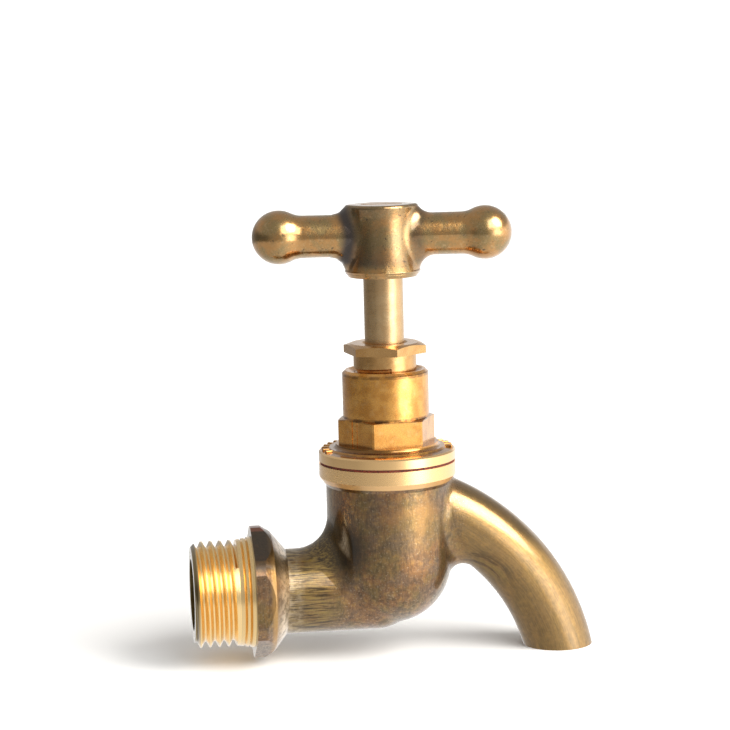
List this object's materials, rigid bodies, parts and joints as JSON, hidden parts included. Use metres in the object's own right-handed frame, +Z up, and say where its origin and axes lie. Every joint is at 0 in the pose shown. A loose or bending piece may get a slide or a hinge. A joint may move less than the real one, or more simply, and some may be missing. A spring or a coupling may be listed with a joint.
{
  "type": "bib tap",
  "caption": "Brass bib tap: screw-down stopcock with a threaded inlet and hexagonal collar, curved spout, spanner bonnet, gland nut and a T-handle with ball ends.",
  "frame": {"origin": "centre of the inlet collar's front face, on the inlet axis", "axes": "+X along the inlet towards the spout, +Z up the spindle, +Y across the tap; the inlet opens towards -X"},
  "size_m": [0.0798, 0.0268, 0.0892],
  "materials": {
    "cast_brass": "cast and scoured, dull brown",
    "machined_brass": "turned, bright",
    "stem_brass": "turned, satin",
    "handle_brass": "cast and polished, aged",
    "fibre": "matt vulcanised fibre",
    "graphite": "matt",
    "rubber": "matt",
    "spring_wire": "drawn wire"
  },
  "bodies": {
    "tap_body": {"body": "cast_brass", "body_washer": "fibre", "bonnet": "machined_brass", "gland_nut": "machined_brass", "gland_follower": "machined_brass", "packing_base_ring": "machined_brass", "packing_ring_1": "graphite", "packing_ring_2": "graphite", "packing_ring_3": "graphite"},
    "valve_jumper": {"jumper": "machined_brass", "jumper_snap_ring": "spring_wire", "seat_washer": "rubber", "washer_plate": "machined_brass", "washer_nut": "machined_brass"},
    "handwheel": {"spindle": "stem_brass", "handle": "handle_brass", "handle_screw": "machined_brass"}
  },
  "joints": [
    {"name": "jumper_lift", "type": "slide", "parent": "tap_body", "child": "valve_jumper", "axis": [0, 0, 1], "range_m": [0, 0.005]},
    {"name": "spindle_turn", "type": "hinge", "parent": "valve_jumper", "child": "handwheel", "pos_m": [0.0275, 0, 0], "axis": [0, 0, 1], "range_deg": [0, 900]}
  ],
  "couplings": [
    {"joint": "spindle_turn", "follows": "jumper_lift", "rad_per_m": 3141.6}
  ]
}
